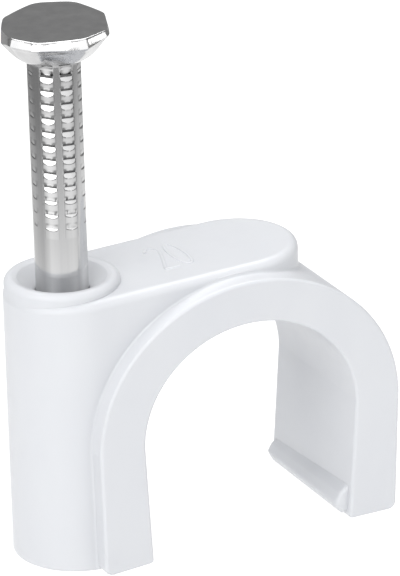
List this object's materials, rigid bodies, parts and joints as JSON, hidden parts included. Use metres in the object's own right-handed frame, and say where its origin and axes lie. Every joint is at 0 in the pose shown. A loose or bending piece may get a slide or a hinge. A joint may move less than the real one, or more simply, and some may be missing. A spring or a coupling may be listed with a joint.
{
  "type": "nail-in cable clip",
  "caption": "Moulded horseshoe clip that straddles a round cable, with a steel nail standing in its side boss.",
  "frame": {"origin": "middle of the clip's footprint on the wall", "axes": "+Z away from the wall, towards the nail head; +Y along the cable; +X from the nail to the free leg"},
  "size_m": [0.033, 0.0144, 0.0475],
  "materials": {
    "clip_plastic": "white moulded plastic, satin",
    "nail_steel": "bright plain steel"
  },
  "bodies": {
    "root": {"clip": "clip_plastic", "nail": "nail_steel"}
  },
  "joints": []
}
